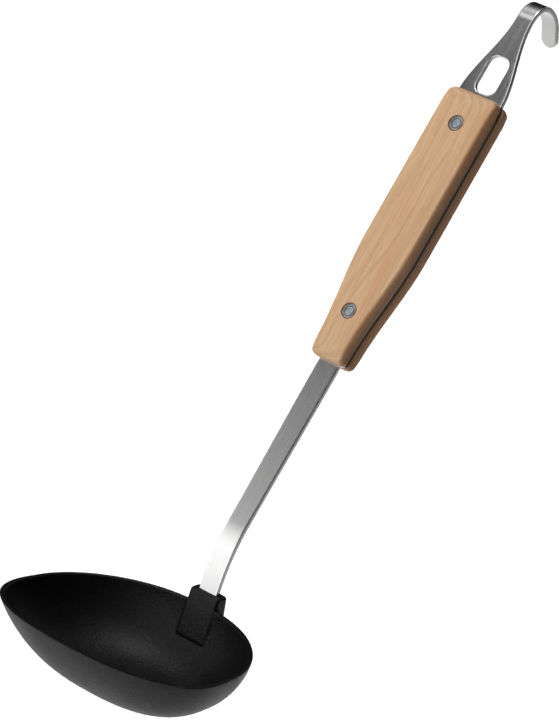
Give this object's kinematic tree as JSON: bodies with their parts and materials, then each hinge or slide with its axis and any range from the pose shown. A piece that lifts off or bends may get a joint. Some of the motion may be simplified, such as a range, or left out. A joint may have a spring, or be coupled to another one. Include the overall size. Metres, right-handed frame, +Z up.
{
  "type": "kitchen ladle",
  "caption": "Serving ladle with an oval moulded bowl, a bent flat steel strip ending in a hanging hook, and a riveted wooden handle.",
  "frame": {"origin": "top of the inside of the hook, on the middle plane, where the ladle hangs", "axes": "+X across the strip, +Y towards the back of the handle, which leans 33.25 degrees back from upright, +Z up with the bowl's rim level"},
  "size_m": [0.1078, 0.2315, 0.2532],
  "materials": {
    "bowl_nylon": "fine matte moulded",
    "strip_steel": "satin, brushed along its length",
    "handle_wood": "fine sanded, oiled",
    "rivet_steel": "satin"
  },
  "bodies": {
    "root": {"bowl": "bowl_nylon", "shaft": "strip_steel", "front_scale": "handle_wood", "back_scale": "handle_wood", "upper_rivet_barrel": "rivet_steel", "upper_rivet_pin": "rivet_steel", "lower_rivet_barrel": "rivet_steel", "lower_rivet_pin": "rivet_steel"}
  },
  "joints": []
}
